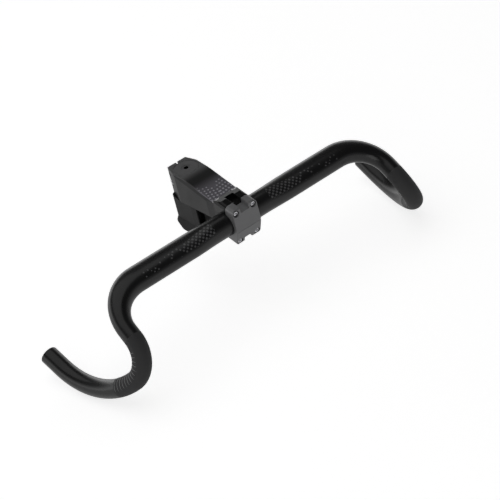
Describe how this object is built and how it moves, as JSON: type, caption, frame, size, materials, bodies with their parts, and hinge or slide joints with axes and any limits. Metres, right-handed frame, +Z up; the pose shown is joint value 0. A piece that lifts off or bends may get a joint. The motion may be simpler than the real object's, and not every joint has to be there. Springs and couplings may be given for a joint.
{
  "type": "bicycle drop handlebar with stem",
  "caption": "Flared drop handlebar with flattened tops, clamped in a threadless stem with faceplate, flush cap, hose-channel spacers and bearing cover.",
  "frame": {"origin": "on the steerer axis, at the stem's lower face", "axes": "+Z up the steerer axis, -Y forward to the faceplate, +X to the rider's left"},
  "size_m": [0.5478, 0.2045, 0.1597],
  "materials": {
    "bar_gloss": "black lacquered composite, glossy, matte in the hooks",
    "stem_satin": "satin dark grey anodised",
    "plate_metal": "satin grey anodised",
    "bolt_steel": "bright machined",
    "cap_satin": "satin dark grey anodised",
    "bolt_black": "black oxide",
    "cover_plastic": "satin moulded plastic",
    "ring_metal": "machined",
    "seal_rubber": "matte"
  },
  "bodies": {
    "root": {"handlebar": "bar_gloss", "stem_body": "stem_satin", "faceplate": "plate_metal", "faceplate_bolt_upper_right": "bolt_steel", "faceplate_bolt_upper_left": "bolt_steel", "faceplate_bolt_lower_right": "bolt_steel", "faceplate_bolt_lower_left": "bolt_steel", "pinch_bolt_upper": "bolt_steel", "pinch_bolt_lower": "bolt_steel", "top_cap": "cap_satin", "top_cap_bolt": "bolt_black", "cable_cover": "cover_plastic", "cable_cover_screw_front": "bolt_black", "cable_cover_screw_rear": "bolt_black", "transition_spacer": "cover_plastic", "spacer_thin": "cover_plastic", "spacer_tall": "cover_plastic", "bearing_cover": "cover_plastic", "compression_ring": "ring_metal", "cover_seal": "seal_rubber"}
  },
  "joints": []
}
